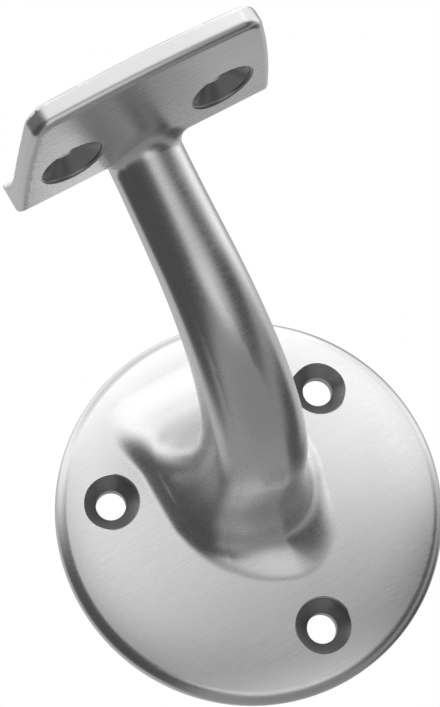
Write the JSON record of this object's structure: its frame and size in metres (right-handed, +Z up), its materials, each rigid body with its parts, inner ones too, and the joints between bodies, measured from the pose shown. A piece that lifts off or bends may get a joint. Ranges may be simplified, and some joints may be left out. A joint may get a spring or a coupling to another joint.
{
  "type": "handrail bracket",
  "caption": "Cast handrail bracket: round domed wall plate, tapered swan-neck arm and a short concave saddle, with countersunk screw holes for the wall and the rail.",
  "frame": {"origin": "centre of the wall plate's flat back", "axes": "+Z up, -Y away from the wall, +X along the rail"},
  "size_m": [0.07, 0.1026, 0.0827],
  "materials": {
    "satin_metal": "satin"
  },
  "bodies": {
    "root": {"handrail_bracket": "satin_metal"}
  },
  "joints": []
}
